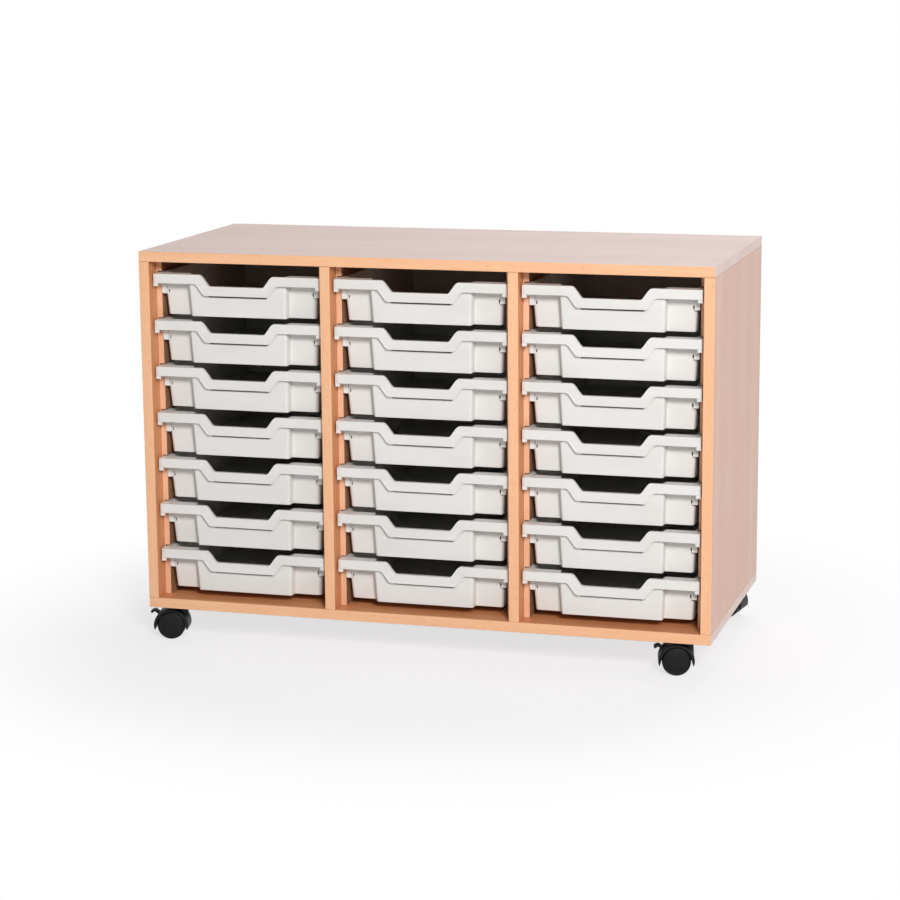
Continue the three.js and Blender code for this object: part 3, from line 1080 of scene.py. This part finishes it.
    def _web(self, bm: BMesh, outline: Sequence[tuple[float, float]], start: float, end: float) -> None:
        """Adds a web at each end of the band, and leans it with the body's walls.

        Args:
            bm: The mesh.
            outline: The web's corners as pairs of a distance from the tray's edge and a height.
            start: Where it starts, from the front backwards.
            end: Where it ends.
        """
        half = self.width / 2
        for side in (-1, 1):
            web = outline_prism([(side * (half - across), z) for across, z in outline], start, end)
            bevel(web, sharp_edges(web), 0.0003)
            for vert in web.verts:
                leaned = self.drafted(vert.co)
                if abs(vert.co.x) < half - self.rim:
                    vert.co.x = leaned.x
                if vert.co.y > self.lug_depth:
                    vert.co.y = leaned.y
            absorb(bm, web)

    def moulding(self) -> Mesh:
        """Makes the tray's mesh once, with its walls' thickness and its edges rounded.

        Returns:
            The mesh.
        """
        bm = self._body()
        self._lower_front(bm)
        self._rim(bm)
        self._slits(bm)
        sheet = bpy.data.meshes.new("tray_sheet")
        bm.to_mesh(sheet)
        bm.free()
        holder = bpy.data.objects.new("tray_sheet", sheet)
        bpy.context.scene.collection.objects.link(holder)
        thick = holder.modifiers.new("walls", "SOLIDIFY")
        thick.thickness = self.wall
        thick.offset = -1.0
        thick.use_even_offset = True
        thick.use_quality_normals = True
        soft = holder.modifiers.new("soft_edges", "BEVEL")
        soft.width = 0.0005
        soft.segments = 2
        soft.use_clamp_overlap = False
        soft.limit_method = "ANGLE"
        soft.angle_limit = math.radians(38)
        shown = holder.evaluated_get(bpy.context.evaluated_depsgraph_get())
        bm = bmesh.new()
        bm.from_mesh(shown.to_mesh())
        bmesh.ops.dissolve_degenerate(bm, dist=1e-5, edges=bm.edges)
        bpy.data.objects.remove(holder)
        bpy.data.meshes.remove(sheet)
        self._lugs(bm)
        mesh = bpy.data.meshes.new("tray_moulding")
        bm.to_mesh(mesh)
        bm.free()
        return mesh

    def build(self) -> None:
        """Sets one moulding down for every tray of the frame."""
        moulding = self.moulding()
        for name in sorted(node for node in frame["nodes"] if node.startswith("tray_")):
            low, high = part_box(name)
            mesh = moulding.copy()
            mesh.transform(Matrix.Translation(((low.x + high.x) / 2, low.y, low.z)))
            Piece(name + "_moulding", name, "tray_plastic", [name]).make(mesh, [self.finishes.tray])
        bpy.data.meshes.remove(moulding)


# Castors


def joint(name: str) -> dict[str, object]:
    """Finds a joint of the frame by its name."""
    return next(entry for entry in frame["joints"] if entry["name"] == name)


@dataclass
class Castor:
    """A hooded twin-wheel castor, drawn with its axle on the Y axis of its own frame.

    Attributes:
        finishes: The unit's finishes.
        name: The castor's name, which the names of its solids, body and joints start with.
        braked: Whether it has a brake lever.
    """

    finishes: Finishes
    name: str
    braked: bool
    wheel_radius: float = 0.025
    wheel_width: float = 0.017
    wheel_gap: float = 0.00345
    web: float = 0.006
    hub: float = 0.0078
    axle_radius: float = 0.003
    axle_reach: float = 0.015
    hood_inner: float = 0.0268
    hood_outer: float = 0.0315
    hood_width: float = 0.044
    droop: float = 13.0
    boss_radius: float = 0.0095
    boss_foot: float = 0.01
    bore: float = 0.0043
    plate: float = 0.0025
    plate_corner: float = 0.004
    screw_pitch: float = 0.015
    pivot: float = 0.0292
    lever_width: float = 0.013
    lever_half: float = 0.0023
    lever_angle: float = 140.0
    lever_tip: float = 0.0016
    slot_margin: float = 0.001
    slot_before: float = 17.0
    slot_after: float = 24.0

    def __post_init__(self) -> None:
        """Reads the castor's place and the way it points from its joints."""
        roll, swivel = joint(self.name + "_wheel_front_roll"), joint(self.name + "_swivel_turn")
        self.at, axle = Vector(roll["pos_m"]), Vector(roll["axis"])
        self.turn = Matrix.Rotation(math.atan2(-axle.x, axle.y), 3, "Z")
        self.trail = (self.turn.transposed() @ (Vector(swivel["pos_m"]) - self.at)).x

    def build(self) -> None:
        """Builds the plate, the hood, the wheels, the axle and the lever."""
        self._plate()
        self._hood()
        self._wheels()
        self._axle()
        if self.braked:
            self._lever()

    def _set(self, bm: BMesh) -> BMesh:
        """Turns a mesh from the castor's own frame and moves it to its place."""
        bmesh.ops.rotate(bm, cent=(0, 0, 0), matrix=self.turn, verts=bm.verts)
        bmesh.ops.translate(bm, vec=self.at, verts=bm.verts)
        return bm

    def _upright(self, profile: Sequence[tuple[float, float]], steps: int, x: float, y: float) -> BMesh:
        """Turns a profile about an upright axis.

        Args:
            profile: Pairs of a radius and a height, in order.
            steps: The number of faces round the turn.
            x: The axis's place across.
            y: The axis's place along.

        Returns:
            The turned mesh.
        """
        bm = turned(profile, steps)
        bmesh.ops.rotate(bm, cent=(0, 0, 0), matrix=Matrix.Rotation(math.pi / 2, 3, "X"), verts=bm.verts)
        bmesh.ops.translate(bm, vec=(x, y, 0), verts=bm.verts)
        return bm

    def _plate(self) -> None:
        """Builds the mounting plate with its kingpin, and its screws."""
        name = self.name + "_plate"
        low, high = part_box(name)
        centre, under = (low + high) / 2, high.z - self.plate
        bm = bmesh.new()
        add_box(bm, Vector((low.x, low.y, under)), high)
        upright = [edge for edge in bm.edges if abs(edge.verts[0].co.z - edge.verts[1].co.z) > self.plate / 2]
        bevel(bm, upright, self.plate_corner, 4)
        bevel(bm, sharp_edges(bm), 0.0004)
        radius, root, edge, end = 0.004, under + self.plate / 2, 0.0005, low.z + 0.0006
        profile = [(0, end), (radius - edge, end), (radius, end + edge), (radius, root), (0, root)]
        absorb(bm, self._upright(profile, 24, centre.x, centre.y))
        # The plate takes the near-black plating, painted shade from under the bottom panel.
        Piece(self.name + "_mounting_plate", CARCASS, "steel", [name]).make(bm, [self.finishes.shade_dark_steel])
        pair = (-self.screw_pitch, self.screw_pitch)
        spots = [Vector((centre.x + x, centre.y + y, under)) for x in pair for y in pair]
        Screws(self.name + "_plate_screws", Facing.BELOW, spots, 0.0036).build(self.finishes)

    def _hood(self) -> None:
        """Builds the hood: a swept shell, the web between the wheels and the swivel boss."""
        bm = self._shell()
        web, rim, hub = self.web / 2, self.hood_inner + 0.0005, self.hub
        disc = turned([(0, -web), (rim, -web), (rim, web), (0, web)], 48)
        bmesh.ops.bisect_plane(
            disc,
            geom=[*disc.verts, *disc.edges, *disc.faces],
            plane_co=(0, 0, -0.002),
            plane_no=(0, 0, -1),
            clear_outer=True,
        )
        bmesh.ops.holes_fill(disc, edges=disc.edges)
        if self.braked:
            self._clear(disc, self.hood_inner - 0.0015)
        absorb(bm, disc)
        absorb(bm, turned([(0, -web), (hub, -web), (hub, web), (0, web)], 32))
        absorb(bm, self._boss())
        name = self.name + "_hood"
        piece = Piece(name + "_shell", self.name + "_swivel", "castor_plastic", [name])
        piece.make(self._set(bm), [self.finishes.hood])

    def _in_slot(self, point: Vector) -> bool:
        """Tells whether a point lies in the angle that the lever's slot takes up."""
        angle = math.degrees(math.atan2(point.z, point.x)) - self.lever_angle
        return -self.slot_before < angle < self.slot_after

    def _clear(self, disc: BMesh, radius: float) -> None:
        """Draws the web's rim in under the lever's slot."""
        for vert in disc.verts:
            reach = math.hypot(vert.co.x, vert.co.z)
            if reach > radius and self._in_slot(vert.co):
                vert.co.x *= radius / reach
                vert.co.z *= radius / reach

    def _shell(self) -> BMesh:
        """Sweeps the hood's section round the axle, draws its ends in to points and cuts the slot."""
        half, slot = self.hood_width / 2, self.lever_width / 2 + self.slot_margin
        inner, outer = self.hood_inner, self.hood_outer
        flank = [
            (slot, inner),
            (half - 0.0015, inner),
            (half, inner - 0.0005),
            (half, outer - 0.002),
            (half - 0.0006, outer - 0.0007),
            (half - 0.002, outer),
            (slot, outer),
        ]
        section = flank + [(-y, radius) for y, radius in reversed(flank)]
        bm = bmesh.new()
        start = Matrix.Rotation(math.radians(90 + self.droop), 3, "Y")
        ring = bm.faces.new([bm.verts.new(start @ Vector((0, y, radius))) for y, radius in section])
        sweep = math.radians(180 + 2 * self.droop)
        bmesh.ops.spin(bm, geom=[ring], cent=(0, 0, 0), axis=(0, -1, 0), angle=sweep, steps=40)
        for vert in bm.verts:
            below = max(0.0, -vert.co.z / (outer * math.sin(math.radians(self.droop))))
            radius = math.hypot(vert.co.x, vert.co.z)
            wanted = radius + (outer - 0.0008 - radius) * min(1.0, below) * 0.85
            vert.co.x *= wanted / radius
            vert.co.z *= wanted / radius
        bmesh.ops.remove_doubles(bm, verts=bm.verts, dist=1e-6)
        if self.braked:
            crown = [face for face in bm.faces if abs(face.calc_center_median().y) < slot / 2]
            opened = [face for face in crown if self._in_slot(face.calc_center_median())]
            bmesh.ops.delete(bm, geom=opened, context="FACES")
            bmesh.ops.bridge_loops(bm, edges=[edge for edge in bm.edges if edge.is_boundary])
        bmesh.ops.recalc_face_normals(bm, faces=bm.faces)
        return bm

    def _boss(self) -> BMesh:
        """Makes the swivel boss, with its foot shaped to the room above the wheels."""
        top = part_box(self.name + "_hood")[1].z - self.at.z
        radius, bore, foot = self.boss_radius, self.bore, self.boss_foot
        outside = [(radius + 0.001, foot), (radius, top - 0.003), (radius - 0.0008, top - 0.0006)]
        profile = [(bore, foot), *outside, (radius - 0.002, top), (bore, top), (bore, foot)]
        boss = self._upright(profile, 40, self.trail, 0)
        room = self.hood_inner + 0.001
        for vert in boss.verts:
            if math.hypot(vert.co.x, vert.co.z) < room:
                vert.co.z = math.sqrt(room**2 - vert.co.x**2)
        return boss

    def _wheels(self) -> None:
        """Builds the two wheels, each with a smooth domed face and a rounded tread."""
        radius, width = self.wheel_radius, self.wheel_width
        bore = self.axle_radius + 0.0003
        profile = [
            (0, width - 0.004),
            (bore, width - 0.004),
            (bore, 0),
            (radius - 0.003, 0),
            (radius - 0.0012, 0.0004),
            (radius - 0.0003, 0.0015),
            (radius, 0.003),
            (radius, width - 0.0035),
            (radius - 0.0003, width - 0.0022),
            (radius - 0.0012, width - 0.0011),
            (radius - 0.0027, width - 0.0007),
            (radius - 0.0034, width - 0.0012),
            (radius - 0.0041, width - 0.0012),
            (radius - 0.0048, width - 0.0006),
            (0.012, width - 0.0001),
            (0.006, width + 0.0002),
            (0, width + 0.0003),
        ]
        for which, side in (("front", -1), ("back", 1)):
            bm = turned([(r, side * (self.wheel_gap + along)) for r, along in profile], 64)
            name = f"{self.name}_wheel_{which}"
            Piece(name + "_disc", name, "wheel_plastic", [name]).make(self._set(bm), [self.finishes.wheel])

    def _axle(self) -> None:
        """Builds the axle with its ends chamfered."""
        reach, radius, edge = self.axle_reach, self.axle_radius, 0.0006
        profile = [(0, -reach), (radius - edge, -reach), (radius, edge - reach)]
        bm = turned([*profile, (radius, reach - edge), (radius - edge, reach), (0, reach)], 24)
        name = self.name + "_axle"
        piece = Piece(name + "_pin", self.name + "_swivel", "steel", [name])
        piece.make(self._set(bm), [self.finishes.steel])

    def _lever(self) -> None:
        """Builds the brake lever: a hooked pedal on its barrel and pins."""
        wide = self.lever_width / 2
        near, far = self._pedal()
        bm = outline_prism(near + far[::-1], -wide, wide)
        ends = [Vector((x, 0, z)) for x, z in (near[-1], far[-1])]
        tip = []
        for edge in bm.edges:
            spots = [Vector((vert.co.x, 0, vert.co.z)) for vert in edge.verts]
            if (spots[0] - spots[1]).length < 1e-6 and min((spots[0] - end).length for end in ends) < 1e-6:
                tip.append(edge)
        bevel(bm, tip, self.lever_tip, 4)
        bevel(bm, sharp_edges(bm, 60), 0.0006)
        angle = math.radians(self.lever_angle)
        place = Vector((math.cos(angle), 0, math.sin(angle))) * self.pivot
        for radius, reach in ((0.0021, wide), (0.0012, wide + 0.002)):
            rod = turned([(0, -reach), (radius, -reach), (radius, reach), (0, reach)], 20)
            bmesh.ops.translate(rod, vec=place, verts=rod.verts)
            absorb(bm, rod)
        name = self.name + "_brake_lever"
        Piece(name + "_pedal", name, "castor_plastic", [name]).make(self._set(bm), [self.finishes.hood])

    def _pedal(self) -> tuple[list[tuple[float, float]], list[tuple[float, float]]]:
        """Draws the two long edges of the pedal: straight out from its pivot, then hooked over.

        Returns:
            The points of each edge as pairs of X and Z, from the pivot to the tip.
        """
        angle = math.radians(self.lever_angle)
        out = Vector((math.cos(angle), math.sin(angle)))
        spot, heading = out * self.pivot, 0.0
        stem = ((0.0, 0), (0.0045, 0), (0.0045, 0))
        steps = (*stem, (0.002, 24), (0.002, 24), (0.002, 20), (0.002, 12), (0.002, 8))
        near, far = [], []
        for index, (length, bend) in enumerate(steps):
            heading += math.radians(bend)
            way = Matrix.Rotation(heading, 2) @ out
            spot = spot + way * length
            across = Vector((-way.y, way.x)) * self.lever_half * (0.85 + 0.3 * index / len(steps))
            near.append(tuple(spot - across))
            far.append(tuple(spot + across))
        return near, far


# Studio


@dataclass
class Studio:
    """Floor, lamps and camera."""

    eye: Vector
    azimuth: float = 16.419
    elevation: float = 11.264
    roll: float = -0.4756
    focal: float = 100.51
    ambient: float = 0.13

    def build(self) -> None:
        """Sets the studio up."""
        self._world()
        self._floor()
        self._lamps()
        self._camera()
        bpy.context.scene.view_settings.view_transform = "Standard"

    def _world(self) -> None:
        """A soft surround that shows as plain white."""
        world = bpy.data.worlds.new("surround")
        bpy.context.scene.world = world
        graph = Graph(world)
        glow = graph.tree.nodes["Background"].inputs
        graph.feed(glow["Color"], (1.0, 1.0, 1.0, 1.0))
        graph.feed(glow["Strength"], self.ambient + graph.seen() * (1 - self.ambient))

    def _floor(self) -> None:
        """A plain pale floor that shows as white away from the unit's shadow."""
        bm = bmesh.new()
        bmesh.ops.create_grid(bm, x_segments=1, y_segments=1, size=12.0)
        mesh = bpy.data.meshes.new("floor")
        bm.to_mesh(mesh)
        bm.free()
        floor = bpy.data.objects.new("floor", mesh)
        bpy.context.scene.collection.objects.link(floor)
        graph = Graph(bpy.data.materials.new("floor_paper"))
        mesh.materials.append(graph.finish(Base_Color=(0.9, 0.9, 0.9, 1.0), Roughness=0.9))
        paper = Value(graph, graph.tree.nodes["Principled BSDF"].outputs[0])
        glow = graph.value("ShaderNodeEmission", None, {"Color": (1.0, 1.0, 1.0, 1.0), "Strength": 1.0})
        away = graph.value("ShaderNodeVectorMath", {"operation": "LENGTH"}, {0: graph.place()}, 1)
        share = graph.seen() * (0.7 + away.above(0.55, 0.5) * 0.3)
        blend = graph.value("ShaderNodeMixShader", None, {0: share, 1: paper, 2: glow})
        graph.feed(graph.tree.nodes["Material Output"].inputs["Surface"], blend)

    def _lamp(self, name: str, spot: Vector, aim: Vector, size: float, power: float) -> None:
        """Adds a square soft lamp.

        Args:
            name: The lamp's name.
            spot: Where it stands.
            aim: What it points at.
            size: Its side.
            power: Its power in watts.
        """
        lamp = bpy.data.lights.new(name, "AREA")
        lamp.size = size
        lamp.energy = power
        holder = bpy.data.objects.new(name, lamp)
        holder.location = spot
        holder.rotation_euler = (aim - spot).to_track_quat("-Z", "Y").to_euler()
        bpy.context.scene.collection.objects.link(holder)

    def _lamps(self) -> None:
        """A key lamp low in front at the right, one high behind the unit and one beside it."""
        aim = Vector((0, 0, 0.35))
        self._lamp("key", Vector((2.4, -4.7, 2.95)), aim, 1.2, 247)
        self._lamp("high", Vector((0.3, 2.3, 3.4)), aim, 2.0, 62)
        self._lamp("side", Vector((3.4, 0.3, 1.5)), aim, 1.8, 16)

    def _camera(self) -> None:
        """The camera, at the photograph's angle."""
        lens = bpy.data.cameras.new("camera")
        lens.lens = self.focal
        lens.sensor_width = 36.0
        lens.clip_end = 100.0
        camera = bpy.data.objects.new("camera", lens)
        camera.location = self.eye
        azimuth, elevation = math.radians(self.azimuth), math.radians(self.elevation)
        flat = math.cos(elevation)
        way = Vector((-math.sin(azimuth) * flat, math.cos(azimuth) * flat, -math.sin(elevation)))
        turn = way.to_track_quat("-Z", "Y") @ Quaternion((0, 0, 1), math.radians(self.roll))
        camera.rotation_mode = "QUATERNION"
        camera.rotation_quaternion = turn
        bpy.context.scene.collection.objects.link(camera)
        bpy.context.scene.camera = camera


def main() -> None:
    """Builds the unit and the studio."""
    logging.basicConfig(level=logging.INFO, format="%(name)s: %(message)s")
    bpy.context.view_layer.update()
    finishes = Finishes()
    Carcass(finishes).build()
    Tray(finishes).build()
    for name, braked in (
        ("castor_front_left", True),
        ("castor_front_right", True),
        ("castor_back_left", False),
        ("castor_back_right", False),
    ):
        Castor(finishes, name, braked).build()
    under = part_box("bottom_panel")[0].z
    Studio(Vector((1.2560, -4.3073, under + 1.1628))).build()


if __name__ == "__main__":
    main()
